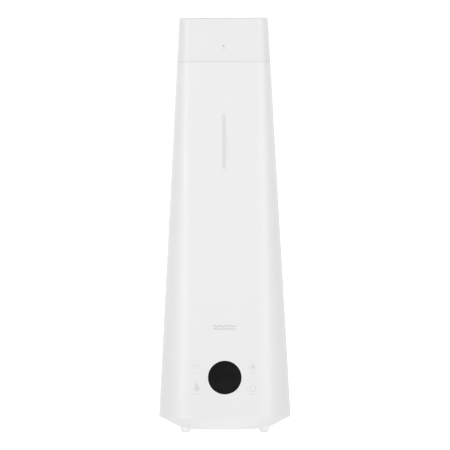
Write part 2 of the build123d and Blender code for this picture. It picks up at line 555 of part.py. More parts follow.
DUCT_TOP_Z = TRANSDUCER_Z - 1
DUCT_HALF_X, DUCT_HALF_Y = 14.0, 9.0
with BuildPart() as fan_duct:
    left, right = DUCT_X - DUCT_HALF_X, DUCT_X + DUCT_HALF_X
    block((left, DUCT_Y - DUCT_HALF_Y, FAN_Z), (right, DUCT_Y + DUCT_HALF_Y, DUCT_TOP_Z))
    block((left, DUCT_Y, FAN_Z), (right, OUTLET_Y - PLAY, LID_TOP_Z))
    front_bottom = fan_duct.edges().filter_by(Axis.X).group_by(Axis.Z)[0].sort_by(Axis.Y)[0]
    fillet(front_bottom, 6.0)
    inner_x, inner_y = DUCT_HALF_X - DUCT_WALL, DUCT_HALF_Y - DUCT_WALL
    block(
        (DUCT_X - inner_x, DUCT_Y - inner_y, FAN_Z + DUCT_WALL),
        (DUCT_X + inner_x, DUCT_Y + inner_y, DUCT_TOP_Z),
        mode=Mode.SUBTRACT,
    )
    block(
        (DUCT_X - inner_x, DUCT_Y, FAN_Z + DUCT_WALL),
        (DUCT_X + inner_x, OUTLET_Y, FAN_TOP_Z),
        mode=Mode.SUBTRACT,
    )
save(fan_duct, "fan_duct")

# ---------------------------------------------------------------- main board
BOARD = 1.6  # thickness of a circuit board
BOARD_TOP_Z = BOARD_Z + BOARD
BOARD_HALF_X, BOARD_HALF_Y = 38.0, 19.0
SINK_LEFT, SINK_RIGHT, SINK_Y, SINK_BACK_Y = -28.0, -6.0, BOARD_Y - 8, BOARD_Y + 12
SINK_BASE, SINK_HEIGHT, FINS, FIN_PITCH, FIN = 3.0, 18.0, 6, 4.0, 2.0
CAPACITOR_R, CAPACITOR_HEIGHT = 4.5, 13.0
CONNECTOR_HALF_X, CONNECTOR_HALF_Y, CONNECTOR_TOP_Z = 2.8, 3.0, BOARD_TOP_Z + 6

with BuildPart() as main_board:
    block((-BOARD_HALF_X, BOARD_Y - BOARD_HALF_Y, BOARD_Z), (BOARD_HALF_X, BOARD_Y + BOARD_HALF_Y, BOARD_TOP_Z))
    for spot in BOARD_SCREWS:
        post(spot, CLEAR_R, BOARD_Z, BOARD_TOP_Z, mode=Mode.SUBTRACT)
save(main_board, "main_board")

with BuildPart() as heat_sink:
    block((SINK_LEFT, SINK_Y, BOARD_TOP_Z), (SINK_RIGHT, SINK_BACK_Y, BOARD_TOP_Z + SINK_BASE))
    for number in range(FINS):
        left = SINK_LEFT + number * FIN_PITCH
        low = (left, SINK_Y, BOARD_TOP_Z + SINK_BASE)
        block(low, (left + FIN, SINK_BACK_Y, BOARD_TOP_Z + SINK_HEIGHT))
save(heat_sink, "heat_sink")

with BuildPart() as capacitors:
    for x in (4.0, 14.0, 24.0):
        post((x, BOARD_Y - 12), CAPACITOR_R, BOARD_TOP_Z, BOARD_TOP_Z + CAPACITOR_HEIGHT)
save(capacitors, "capacitors")

with BuildPart() as choke_coil:
    ring(6.5, 2.6, BOARD_TOP_Z, BOARD_TOP_Z + 5.5, (18.0, BOARD_Y + 12))
save(choke_coil, "choke_coil")

POWER_SOCKET, FAN_SOCKET, DISC_SOCKET = (-35.0, BOARD_Y + 6), (-17.0, BOARD_Y - 14), (-1.0, BOARD_Y - 2)
with BuildPart() as connectors:
    for x, y in (POWER_SOCKET, FAN_SOCKET, DISC_SOCKET):
        low = (x - CONNECTOR_HALF_X, y - CONNECTOR_HALF_Y, BOARD_TOP_Z)
        block(low, (x + CONNECTOR_HALF_X, y + CONNECTOR_HALF_Y, CONNECTOR_TOP_Z))
save(connectors, "connectors")

with BuildPart() as board_screws:
    screws(BOARD_SCREWS, SMALL_HEAD_R, BOARD_TOP_Z + SCREW_HEAD, BOARD_Z - BOARD_SCREW_LENGTH)
save(board_screws, "board_screws")

# ---------------------------------------------------------------- display and touch keys
LENS_FLANGE_DEPTH, LENS_FLANGE = 2.8, 1.2
DIGITS_WIDTH, DIGITS_HEIGHT = 40.0, 26.0
PAD_CONTACT_R = 4.6
DISPLAY_BOARD_WIDTH, DISPLAY_BOARD_HEIGHT = 106.0, 58.0
BOARD_FRONT_DEPTH = DISPLAY_BOARD_DEPTH - TOUCH  # where pieces stand on the board

with BuildPart() as display_lens:
    with BuildSketch(front_plane(DISPLAY_Z, LENS_FLANGE_DEPTH)):
        Circle(DISPLAY_R)
    extrude(amount=LENS_FLANGE_DEPTH)
    chamfer(display_lens.edges().sort_by(Axis.Y)[0], 0.35)
    with BuildSketch(front_plane(DISPLAY_Z, LENS_FLANGE_DEPTH)):
        Circle(DISPLAY_R + 3.4)
    extrude(amount=-LENS_FLANGE)
save(display_lens, "display_lens")

with BuildPart() as digit_module:
    with BuildSketch(front_plane(DISPLAY_Z, BOARD_FRONT_DEPTH)):
        RectangleRounded(DIGITS_WIDTH, DIGITS_HEIGHT, 1.5)
    extrude(amount=BOARD_FRONT_DEPTH - LENS_FLANGE_DEPTH - LENS_FLANGE - PLAY)
save(digit_module, "digit_module")

with BuildPart() as touch_pads:
    with BuildSketch(front_plane(DISPLAY_Z, BOARD_FRONT_DEPTH)):
        with Locations(*KEY_SPOTS):
            Circle(PAD_CONTACT_R)
    extrude(amount=BOARD_FRONT_DEPTH - WALL - TOUCH)
save(touch_pads, "touch_pads")

with BuildPart() as display_board:
    with BuildSketch(front_plane(DISPLAY_Z, DISPLAY_BOARD_DEPTH)):
        RectangleRounded(DISPLAY_BOARD_WIDTH, DISPLAY_BOARD_HEIGHT, 4)
        with Locations(*DISPLAY_SCREWS):
            Circle(CLEAR_R, mode=Mode.SUBTRACT)
    extrude(amount=-BOARD)
save(display_board, "display_board")

with BuildPart() as display_screws:
    with BuildSketch(front_plane(DISPLAY_Z, DISPLAY_BOARD_DEPTH + BOARD)):
        with Locations(*DISPLAY_SCREWS):
            Circle(SMALL_HEAD_R)
    extrude(amount=-SCREW_HEAD)
    with BuildSketch(front_plane(DISPLAY_Z, DISPLAY_BOARD_DEPTH + BOARD)):
        with Locations(*DISPLAY_SCREWS):
            Circle(SCREW_R)
    extrude(amount=8.0)
save(display_screws, "display_screws")

# ---------------------------------------------------------------- level window
WINDOW_SUNK = 0.3  # below the front face

with BuildPart() as window_lens:
    with BuildSketch(front_plane(WINDOW_Z, LENS_FLANGE_DEPTH)):
        SlotOverall(WINDOW_LENGTH - 2 * PLAY, WINDOW_WIDTH - 2 * PLAY, rotation=90)
    extrude(amount=LENS_FLANGE_DEPTH - WINDOW_SUNK)
    with BuildSketch(front_plane(WINDOW_Z, LENS_FLANGE_DEPTH)):
        SlotOverall(WINDOW_LENGTH + 6, WINDOW_WIDTH + 6, rotation=90)
    extrude(amount=-LENS_FLANGE)
save(window_lens, "window_lens")

# ---------------------------------------------------------------- air inlet cover and filter
LOUVRES, LOUVRE_PITCH, LOUVRE_LENGTH, LOUVRE = 8, 5.2, 62.0, 2.6
COVER = WALL - PLAY
RIM_INSET, RIM, RIM_DEPTH = 2.5, 1.5, 9.0  # rim on the cover's back that holds the filter
FILTER, FILTER_CORNER = 8.0, 1.8
NOTCH_R, NOTCH = 7.0, 1.3


def rim_outline(inset, corner, mode=Mode.ADD):
    """The filter rim's outline, inset from the cover's opening."""
    RectangleRounded(GRILLE_WIDTH - 2 * inset, GRILLE_HEIGHT - 2 * inset, corner, mode=mode)


with BuildPart() as filter_cover:
    with BuildSketch(back_plane(GRILLE_Z, COVER)):
        grille_outline(-FIT)
    extrude(amount=COVER)
    with BuildSketch(back_plane(GRILLE_Z, COVER)):
        rim_outline(RIM_INSET, GRILLE_CORNER - RIM_INSET)
        rim_outline(RIM_INSET + RIM, FILTER_CORNER + PLAY, mode=Mode.SUBTRACT)
    extrude(amount=-RIM_DEPTH)
    with BuildSketch(back_plane(GRILLE_Z, WALL)):
        with GridLocations(0, LOUVRE_PITCH, 1, LOUVRES):
            SlotOverall(LOUVRE_LENGTH, LOUVRE)
    extrude(amount=WALL + CLEAR, mode=Mode.SUBTRACT)
    # thumb notch in the upper edge
    with BuildSketch(back_plane(GRILLE_Z, NOTCH)):
        with Locations((0, GRILLE_HEIGHT / 2)):
            Circle(NOTCH_R)
    extrude(amount=NOTCH + CLEAR, mode=Mode.SUBTRACT)
save(filter_cover, "filter_cover")

with BuildPart() as air_filter:
    with BuildSketch(back_plane(GRILLE_Z, WALL)):
        rim_outline(RIM_INSET + RIM + PLAY, FILTER_CORNER)
    extrude(amount=-FILTER)
save(air_filter, "air_filter")

# ---------------------------------------------------------------- power inlet
PLUG_R, PLUG_DEPTH = 2.75, 9.0  # bore for a 5.5 mm barrel plug
PIN_TIP_DEPTH, JACK_PIN_R = 1.0, 1.0
JACK_BODY_DEPTH = 9.0

with BuildPart() as power_jack:
    with BuildSketch(back_plane(JACK_Z, WALL + PLAY)):
        with Locations((-JACK_X, 0)):
            Circle(JACK_R)
    extrude(amount=WALL + PLAY)
    with BuildSketch(back_plane(JACK_Z, WALL + PLAY)):
        with Locations((-JACK_X, 0)):
            RectangleRounded(15, 13, 1)
    extrude(amount=-JACK_BODY_DEPTH)
    with BuildSketch(back_plane(JACK_Z, PLUG_DEPTH)):
        with Locations((-JACK_X, 0)):
            Circle(PLUG_R)
    extrude(amount=PLUG_DEPTH + CLEAR, mode=Mode.SUBTRACT)
    chamfer(power_jack.edges().filter_by(GeomType.CIRCLE).sort_by(Axis.Y)[-2:], 0.4)
save(power_jack, "power_jack")

with BuildPart() as jack_pin:
    with BuildSketch(back_plane(JACK_Z, PLUG_DEPTH)):
        with Locations((-JACK_X, 0)):
            Circle(JACK_PIN_R)
    extrude(amount=PLUG_DEPTH - PIN_TIP_DEPTH)
save(jack_pin, "jack_pin")

# ---------------------------------------------------------------- cap
CAP_BOTTOM_Z = SEAM_Z + SEAM_GAP
CAP_FLOOR = 2.5
COLLAR_R, COLLAR_BORE_R = 27.4, 25.0
COLLAR_Z = CHIMNEY_TOP_Z - 7.5
SKIRT_LOW_Z, SKIRT_TOP_Z = SEAM_Z - 8, CAP_BOTTOM_Z + 5
SKIRT_FIT, SKIRT = 0.6, 1.6  # play inside the housing, and thickness
DISH_HALF, DISH_LEAN = 63.0, 8.0
RIB, RIB_INNER_X, RIB_OUTER_X = 2.4, 61.0, 68.0
FILL_SLOT_R, FILL_SLOT_LENGTH, FILL_SLOT = 47.0, 58.0, 11.0

with BuildPart() as top_cap:
    tower_block(CAP_BOTTOM_Z, HEIGHT)
    fillet(top_cap.faces().sort_by(Axis.Z)[-1].edges(), 1.6)
    tower_block(CAP_BOTTOM_Z, DISH_Z - CAP_FLOOR, WALL, mode=Mode.SUBTRACT)
    # filling dish
    with BuildSketch(Plane.XY.offset(DISH_Z)):
        RectangleRounded(2 * DISH_HALF, 2 * DISH_HALF, DISH_HALF - FLAT_HALF)
    extrude(amount=HEIGHT - DISH_Z, taper=-DISH_LEAN, mode=Mode.SUBTRACT)
    fillet(top_cap.faces().filter_by(Plane.XY).sort_by(Axis.Z)[-2].outer_wire().edges(), 4.0)
    # skirt that drops inside the housing, and a step that joins it to the wall
    tower_block(SKIRT_LOW_Z, SKIRT_TOP_Z, WALL + SKIRT_FIT)
    tower_block(CAP_BOTTOM_Z, SKIRT_TOP_Z, WALL - BITE)
    tower_block(SKIRT_LOW_Z, SKIRT_TOP_Z, WALL + SKIRT_FIT + SKIRT, mode=Mode.SUBTRACT)
    # collar around the chimney, up to the nozzle's seat
    post((0, 0), COLLAR_R, COLLAR_Z, DISH_Z)
    post((0, 0), COLLAR_BORE_R, COLLAR_Z, DISH_Z, mode=Mode.SUBTRACT)
    # ribs that rest on the tank's rim
    for turn in range(4):
        with Locations(Location((0, 0, 0), (0, 0, 90 * turn))):
            block((RIB_INNER_X, -RIB / 2, TANK_TOP_Z + PLAY), (RIB_OUTER_X, RIB / 2, DISH_Z - 1))
    # filling slots
    with BuildSketch(Plane.XY.offset(DISH_Z - CAP_FLOOR - CLEAR)):
        with PolarLocations(FILL_SLOT_R, 4):
            SlotOverall(FILL_SLOT_LENGTH, FILL_SLOT, rotation=90)
    extrude(amount=CAP_FLOOR + 2 * CLEAR, mode=Mode.SUBTRACT)
save(top_cap, "top_cap")

with BuildPart() as duct_seal:
    ring(COLLAR_BORE_R - TOUCH, CHIMNEY_R + 0.15, COLLAR_Z + 1, COLLAR_Z + 5)
save(duct_seal, "duct_seal")

# ---------------------------------------------------------------- turning mist nozzle
NOZZLE_R = 31.0
NOZZLE_Z = DISH_Z + 0.3
NOZZLE_SPLIT_Z = NOZZLE_Z + 2.2
NOZZLE_TOP_Z = HEIGHT - 0.6
SPIGOT_R, SPIGOT_BORE_R = 24.5, 22.4
SPIGOT_Z = NOZZLE_Z - 18
COVER_WALL, COVER_TOP = 3.4, 2.2
MOUTH_R, MOUTH_EDGE_Y = 22.0, -6.0
RIDGE_Y, RIDGE_LENGTH, RIDGE, RIDGE_HEIGHT = 9.0, 34.0, 3.0, 0.9

with BuildPart() as nozzle_base:
    post((0, 0), SPIGOT_R, SPIGOT_Z, NOZZLE_SPLIT_Z)
    post((0, 0), NOZZLE_R, NOZZLE_Z, NOZZLE_SPLIT_Z)
    post((0, 0), SPIGOT_BORE_R, SPIGOT_Z, NOZZLE_SPLIT_Z, mode=Mode.SUBTRACT)
save(nozzle_base, "nozzle_base")

with BuildPart() as nozzle_cover:
    post((0, 0), NOZZLE_R, NOZZLE_SPLIT_Z, NOZZLE_TOP_Z)
    fillet(nozzle_cover.edges().sort_by(Axis.Z)[-1], 3.0)
    post((0, 0), NOZZLE_R - COVER_WALL, NOZZLE_SPLIT_Z, NOZZLE_TOP_Z - COVER_TOP, mode=Mode.SUBTRACT)
    # half moon mouth on one side
    with BuildSketch(Plane.XY.offset(NOZZLE_TOP_Z - COVER_TOP - CLEAR)):
        Circle(MOUTH_R)
        with Locations((0, MOUTH_EDGE_Y)):
            Rectangle(2 * MOUTH_R, 2 * MOUTH_R, align=(Align.CENTER, Align.MIN), mode=Mode.SUBTRACT)
    extrude(amount=COVER_TOP + 2 * CLEAR, mode=Mode.SUBTRACT)
    # finger ridge across the other side
    with Locations((0, RIDGE_Y, NOZZLE_TOP_Z - 0.5)):
        Box(RIDGE_LENGTH, RIDGE, RIDGE_HEIGHT, align=(Align.CENTER, Align.CENTER, Align.MIN))
save(nozzle_cover, "nozzle_cover")

# ---------------------------------------------------------------- leads inside the base
LEAD_R = 1.5
FAN_LEAD_X = -8.0


def lead(points, bend):
    """A round lead along straight runs joined by arcs."""
    with BuildLine() as route:
        FilletPolyline(*points, radius=bend)
    start = route.line @ 0
    with BuildSketch(Plane(origin=start, z_dir=route.line % 0)) as section:
        Circle(LEAD_R)
    return sweep(section.sketch, path=route.line)


PLUGGED_Z = CONNECTOR_TOP_Z + TOUCH
JACK_BACK_Y = half_width(JACK_Z) - WALL - JACK_BODY_DEPTH - 1
with BuildPart() as power_lead:
    lead(
        [
            (JACK_X, JACK_BACK_Y, JACK_Z),
            (JACK_X - 1.0, FAN_Y, JACK_Z),
            (*POWER_SOCKET, JACK_Z),
            (*POWER_SOCKET, PLUGGED_Z),
        ],
        4.5,
    )
save(power_lead, "power_lead")

with BuildPart() as transducer_lead:
    lead(
        [
            (0, 0, DISC_Z - TOUCH),
            (0, 0, 84.0),
            (*DISC_SOCKET, 66.0),
            (*DISC_SOCKET, PLUGGED_Z),
        ],
        8.0,
    )
save(transducer_lead, "transducer_lead")

with BuildPart() as fan_lead:
    lead(
        [
            (FAN_LEAD_X, FAN_Y, FAN_TOP_Z + 4.4),
            (FAN_LEAD_X, -14, FAN_TOP_Z + 6),
            (*FAN_SOCKET, FAN_TOP_Z + 2),
            (*FAN_SOCKET, PLUGGED_Z),
        ],
        7.0,
    )
save(fan_lead, "fan_lead")

RIBBON_X, RIBBON_WIDTH, RIBBON_THICKNESS = 6.0, 14.0, 0.8
RIBBON_TOP_Z = 66.0
RIBBON_Y = BOARD_Y - BOARD_HALF_Y + 1  # where it meets the main board
with BuildPart() as display_ribbon:
    with BuildSketch(Plane.YZ.offset(RIBBON_X)):
        with BuildLine():
            board_back_y = -half_width(RIBBON_TOP_Z) + DISPLAY_BOARD_DEPTH + BOARD + 1
            FilletPolyline(
                (board_back_y, RIBBON_TOP_Z),
                (board_back_y, 46.0),
                (RIBBON_Y, 40.0),
                (RIBBON_Y, BOARD_TOP_Z + BITE),
                radius=5.0,
            )
            offset(amount=RIBBON_THICKNESS / 2, side=Side.BOTH, kind=Kind.ARC)
        make_face()
    extrude(amount=RIBBON_WIDTH)
save(display_ribbon, "display_ribbon")
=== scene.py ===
"""Looks of the tower cool mist humidifier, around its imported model. Metres, +Z up, front towards -Y."""

import json
from math import atan2, ceil, cos, degrees, pi, radians, sin

import bmesh
import bpy
from mathutils import Matrix, Quaternion, Vector


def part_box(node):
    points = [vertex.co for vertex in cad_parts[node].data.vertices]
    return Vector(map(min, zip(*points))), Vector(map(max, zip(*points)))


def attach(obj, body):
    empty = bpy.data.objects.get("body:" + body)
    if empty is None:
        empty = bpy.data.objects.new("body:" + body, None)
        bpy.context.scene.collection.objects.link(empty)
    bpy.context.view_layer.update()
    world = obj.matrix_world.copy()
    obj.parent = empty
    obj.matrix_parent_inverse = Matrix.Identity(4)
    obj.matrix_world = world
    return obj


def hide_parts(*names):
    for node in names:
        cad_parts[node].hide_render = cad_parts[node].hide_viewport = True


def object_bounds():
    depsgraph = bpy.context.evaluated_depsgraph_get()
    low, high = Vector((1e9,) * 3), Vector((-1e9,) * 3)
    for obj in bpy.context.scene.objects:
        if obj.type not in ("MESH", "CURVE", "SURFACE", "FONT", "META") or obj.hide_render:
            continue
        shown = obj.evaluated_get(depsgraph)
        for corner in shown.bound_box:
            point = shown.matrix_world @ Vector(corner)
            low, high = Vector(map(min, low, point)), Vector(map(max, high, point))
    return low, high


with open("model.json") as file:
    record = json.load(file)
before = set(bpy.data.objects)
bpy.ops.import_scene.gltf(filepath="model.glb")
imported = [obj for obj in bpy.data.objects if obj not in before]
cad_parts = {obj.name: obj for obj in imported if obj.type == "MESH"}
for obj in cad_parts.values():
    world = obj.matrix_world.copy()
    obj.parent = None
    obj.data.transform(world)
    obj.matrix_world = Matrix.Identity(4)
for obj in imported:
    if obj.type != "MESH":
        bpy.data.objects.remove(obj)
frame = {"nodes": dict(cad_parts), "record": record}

nodes = frame["nodes"]
cad_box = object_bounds()
MM = 0.001

# ---------------------------------------------------------------- places taken from the frame
RIGHT = Vector((1, 0, 0))


def middle(node):
    """Centre of a node's box."""
    low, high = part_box(node)
    return (Vector(low) + Vector(high)) / 2


def frame_at(origin, right, up):
    """Matrix of a flat place: X to the right, Y up it, Z out of it."""
    turn = Matrix((right, up, right.cross(up))).transposed().to_4x4()
    return Matrix.Translation(origin) @ turn


def wall_frame(node, z):
    """The place at height z in the middle of a node's flat, leaning front wall."""
    low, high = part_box(node)
    points = [vertex.co for vertex in nodes[node].data.vertices]
    foot = min((co for co in points if co.z < (low.z + high.z) / 2), key=lambda co: co.y)
    head = min((co for co in points if co.z > high.z - 0.1 * MM), key=lambda co: co.y)
    up = Vector((0, head.y - foot.y, head.z - foot.z))
    origin = foot + up * (z - foot.z) / up.z
    return frame_at((0, origin.y, z), RIGHT, up.normalized())


# ---------------------------------------------------------------- stage, light and camera
BACKDROP, BACKDROP_GLOW = (1.0, 1.0, 1.0), 1.05
STUDIO_RAMP = ((0.3, 0.13), (0.62, 0.84))  # place from the front (0) to the back (1), and its grey
FLOOR_HALF = 60.0
FLOOR_GREY, FLOOR_GLOW = 0.25, 0.98  # a weak reflection and an even glow keep the floor white everywhere
FLOOR_BOUNCE = 0.74  # the glow that lights the object from below
SOFTBOXES = (  # name, place, width, height and power
    ("key", (-1.6, -2.7, 0.3), 1.3, 2.0, 46.5),
    ("fill", (1.7, -2.7, 0.3), 1.3, 2.0, 41.5),
    ("top", (0, -0.2, 3.0), 2.4, 2.4, 8),
    ("rear_left", (-2.4, 2.4, 1.2), 1.4, 2.0, 6),
    ("rear_right", (2.4, 2.4, 1.2), 1.4, 2.0, 6),
)
CAMERA_PLACE, CAMERA_AIM = (0, -5.7, 0.55), (0.0011, 0, 0.3190)
CAMERA_LENS, CAMERA_SENSOR = 293, 36  # millimetres
CAMERA_ROLL = -0.18  # degrees


def new_object(name, mesh):
    """Links a mesh as a new object."""
    piece = bpy.data.objects.new(name, mesh)
    bpy.context.scene.collection.objects.link(piece)
    return piece


def make_floor():
    """A plain white floor."""
    mesh = bpy.data.meshes.new("floor")
    corners = [(x * FLOOR_HALF, y * FLOOR_HALF, 0) for x, y in ((-1, -1), (1, -1), (1, 1), (-1, 1))]
    mesh.from_pydata(corners, [], [(0, 1, 2, 3)])
    floor = new_object("floor", mesh)
    material = bpy.data.materials.new("floor_white")
    material.use_nodes = True
    shader = material.node_tree.nodes["Principled BSDF"]
    shader.inputs["Base Color"].default_value = (FLOOR_GREY, FLOOR_GREY, FLOOR_GREY, 1)
    shader.inputs["Roughness"].default_value = 0.9
    shader.inputs["Emission Color"].default_value = (1, 1, 1, 1)
    rays = material.node_tree.nodes.new("ShaderNodeLightPath")
    glow = material.node_tree.nodes.new("ShaderNodeMapRange")
    glow.inputs["To Min"].default_value = FLOOR_BOUNCE
    glow.inputs["To Max"].default_value = FLOOR_GLOW
    material.node_tree.links.new(rays.outputs["Is Camera Ray"], glow.inputs["Value"])
    material.node_tree.links.new(glow.outputs[0], shader.inputs["Emission Strength"])
    mesh.materials.append(material)


def make_world():
    """White behind everything for the camera, and a soft studio, darker in front, for light and reflections."""
    world = bpy.data.worlds.new("studio")
    bpy.context.scene.world = world
    world.use_nodes = True
    tree = world.node_tree
    tree.nodes.clear()
    output = tree.nodes.new("ShaderNodeOutputWorld")
    seen = tree.nodes.new("ShaderNodeBackground")
    seen.inputs["Color"].default_value = (*BACKDROP, 1)
    seen.inputs["Strength"].default_value = BACKDROP_GLOW
    light = tree.nodes.new("ShaderNodeBackground")
    coordinates = tree.nodes.new("ShaderNodeTexCoord")
    split = tree.nodes.new("ShaderNodeSeparateXYZ")
    ramp = tree.nodes.new("ShaderNodeValToRGB")
    for stop, (position, grey) in zip(ramp.color_ramp.elements, STUDIO_RAMP):
        stop.position = position
        stop.color = (grey, grey, grey, 1)
    shift = tree.nodes.new("ShaderNodeMapRange")
    shift.inputs["From Min"].default_value = -1.0
    shift.inputs["From Max"].default_value = 1.0
    tree.links.new(coordinates.outputs["Generated"], split.inputs[0])
    tree.links.new(split.outputs["Y"], shift.inputs["Value"])
    tree.links.new(shift.outputs[0], ramp.inputs[0])
    tree.links.new(ramp.outputs["Color"], light.inputs["Color"])
    rays = tree.nodes.new("ShaderNodeLightPath")
    mix = tree.nodes.new("ShaderNodeMixShader")
    tree.links.new(rays.outputs["Is Camera Ray"], mix.inputs[0])
    tree.links.new(light.outputs[0], mix.inputs[1])
    tree.links.new(seen.outputs[0], mix.inputs[2])
    tree.links.new(mix.outputs[0], output.inputs[0])


def softbox(name, place, target, width, height, power):
    """A large area light aimed at a point."""
    data = bpy.data.lights.new(name, "AREA")
    data.shape = "RECTANGLE"
    data.size = width
    data.size_y = height
    data.energy = power
    light = bpy.data.objects.new(name, data)
    light.location = place
    light.rotation_euler = (Vector(target) - Vector(place)).to_track_quat("-Z", "Y").to_euler()
    bpy.context.scene.collection.objects.link(light)


def make_lights():
    """Two tall softboxes at the front corners, one overhead and a weak one on each side behind."""
    aim = (0, 0, cad_box[1].z / 2)
    for name, place, width, height, power in SOFTBOXES:
        softbox(name, place, aim, width, height, power)


def make_camera():
    """A long lens, level with the cap, that looks slightly down at the middle."""
    data = bpy.data.cameras.new("camera")
    data.sensor_width = CAMERA_SENSOR
    data.lens = CAMERA_LENS
    data.clip_start = 0.1
    data.clip_end = 50
    camera = bpy.data.objects.new("camera", data)
    camera.location = CAMERA_PLACE
    aim = (Vector(CAMERA_AIM) - camera.location).to_track_quat("-Z", "Y")
    camera.rotation_euler = (aim @ Quaternion((0, 0, 1), radians(CAMERA_ROLL))).to_euler()
    bpy.context.scene.collection.objects.link(camera)
    bpy.context.scene.camera = camera


# ---------------------------------------------------------------- materials
class Recipe:
    """A material's node tree, with short calls for the nodes that repeat."""

    def __init__(self, name, **constants):
        """A Principled material. Constants go straight on the shader's sockets."""
        self.material = bpy.data.materials.new(name)
        self.material.use_nodes = True
        self.tree = self.material.node_tree
        self.shader = self.tree.nodes["Principled BSDF"]
        self.coordinates = self.add("ShaderNodeTexCoord").outputs["Object"]
        for socket, value in constants.items():
            self.shader.inputs[socket.replace("_", " ")].default_value = value

    def add(self, kind, **settings):
        """A node of that kind, with its settings."""
        node = self.tree.nodes.new(kind)
        for key, value in settings.items():
            setattr(node, key, value)
        return node

    def link(self, source, target):
        """Joins two sockets."""
        self.tree.links.new(source, target)

    def stretched(self, scale, turn=(0, 0, 0)):
        """Object coordinates with a scale for each axis."""
        mapping = self.add("ShaderNodeMapping")
        mapping.inputs["Scale"].default_value = scale
        mapping.inputs["Rotation"].default_value = turn
        self.link(self.coordinates, mapping.inputs["Vector"])
        return mapping.outputs[0]

    def noise(self, scale, detail=3.0, roughness=0.5, vector=None):
        """Noise from 0 to 1, with features of about 1 / scale metres."""
        node = self.add("ShaderNodeTexNoise")
        node.inputs["Scale"].default_value = scale
        node.inputs["Detail"].default_value = detail
        node.inputs["Roughness"].default_value = roughness
        self.link(vector or self.coordinates, node.inputs["Vector"])
        return node.outputs["Fac"]

    def cells(self, scale, feature="F1"):
        """Distance to the nearest cell centre or edge."""
        node = self.add("ShaderNodeTexVoronoi", feature=feature)
        node.inputs["Scale"].default_value = scale
        self.link(self.coordinates, node.inputs["Vector"])
        return node.outputs["Distance"]

    def bands(self, scale, direction):
        """Straight bands across one axis."""
        node = self.add("ShaderNodeTexWave", bands_direction=direction, wave_profile="SIN")
        node.inputs["Scale"].default_value = scale
        node.inputs["Distortion"].default_value = 0.0
        self.link(self.coordinates, node.inputs["Vector"])
        return node.outputs["Fac"]

    def between(self, value, low, high, from_low=0.3, from_high=0.7):
        """Stretches a value to a range."""
        node = self.add("ShaderNodeMapRange")
        node.inputs["From Min"].default_value = from_low
        node.inputs["From Max"].default_value = from_high
        node.inputs["To Min"].default_value = low
        node.inputs["To Max"].default_value = high
        self.link(value, node.inputs["Value"])
        return node.outputs[0]

    def blend(self, factor, first, second):
        """Mixes two colours, each a colour or a socket."""
        node = self.add("ShaderNodeMix", data_type="RGBA")
        self.link(factor, node.inputs[0])
        for socket, value in ((node.inputs[6], first), (node.inputs[7], second)):
            if isinstance(value, (tuple, list)):
                socket.default_value = (*value, 1)
            else:
                self.link(value, socket)
        return node.outputs[2]

    def near_height(self, level, reach):
        """1 at a height, fading to 0 at a reach above and below it."""
        split = self.add("ShaderNodeSeparateXYZ")
        self.link(self.coordinates, split.inputs[0])
        away = self.add("ShaderNodeMath", operation="SUBTRACT")
        away.inputs[1].default_value = level
        self.link(split.outputs["Z"], away.inputs[0])
        size = self.add("ShaderNodeMath", operation="ABSOLUTE")
        self.link(away.outputs[0], size.inputs[0])
        return self.between(size.outputs[0], 1, 0, 0, reach)

    def colour(self, source):
        """Sets the base colour."""
        self.link(source, self.shader.inputs["Base Color"])

    def rough(self, source):
        """Sets the roughness."""
        self.link(source, self.shader.inputs["Roughness"])

    def bumps(self, *layers):
        """Stacks bump layers, each a height and a depth in metres."""
        normal = None
        for height, depth in layers:
            node = self.add("ShaderNodeBump")
            node.inputs["Distance"].default_value = depth
            node.inputs["Strength"].default_value = 1.0
            self.link(height, node.inputs["Height"])
            if normal:
                self.link(normal, node.inputs["Normal"])
            normal = node.outputs[0]
        self.link(normal, self.shader.inputs["Normal"])


def shade(colour, factor):
    """A colour made darker or lighter."""
    return tuple(min(1.0, c * factor) for c in colour)


def moulded(name, colour, rough=0.42, grain=2200, grain_depth=0.012, variation=0.012, seam_shade_z=None, **constants):
    """Moulded plastic: spark-eroded grain, faint flow marks, a little dust in it, and painted shade in a thin
    dark line along a seam.
    """
    recipe = Recipe(name, **constants)
    flow = recipe.noise(9, 2, 0.4, recipe.stretched((1, 1, 0.35)))
    dust = recipe.noise(420, 4, 0.6)
    base = recipe.blend(flow, shade(colour, 1 - variation), shade(colour, 1 + variation))
    dust_and_seam_shade = recipe.blend(recipe.between(dust, 0, 1, 0.62, 0.80), base, shade(colour, 0.965))
    # Painted shade: a thin darker band at the seam's height stands in for the shadow in the gap between the two
    # mouldings.
    if seam_shade_z:
        dust_and_seam_shade = recipe.blend(recipe.near_height(seam_shade_z, 1.1 * MM), dust_and_seam_shade, shade(colour, 0.88))
    recipe.colour(dust_and_seam_shade)
    recipe.rough(recipe.between(recipe.noise(55, 4, 0.55), rough - 0.04, rough + 0.05))
    recipe.bumps(
        (recipe.noise(14, 1, 0.3), 0.05 * MM),
        (recipe.noise(grain, 2, 0.6), grain_depth * MM),
    )
    return recipe.material


def polished(name, colour, rough=0.1, **constants):
    """Polished plastic with faint wipe marks and a few fine scratches."""
    recipe = Recipe(name, **constants)
    smear = recipe.noise(30, 3, 0.6, recipe.stretched((1, 1, 2.2), (0, 0.5, 0)))
    scratch = recipe.noise(900, 1, 0.3, recipe.stretched((0.05, 1, 1), (0, 0.35, 0)))
    recipe.colour(recipe.blend(smear, colour, shade(colour, 1.12)))
    recipe.rough(recipe.between(smear, rough * 0.8, rough * 1.35))
    recipe.bumps((recipe.noise(22, 1, 0.3), 0.02 * MM), (recipe.between(scratch, 0, 1, 0.68, 0.8), 0.001 * MM))
    return recipe.material


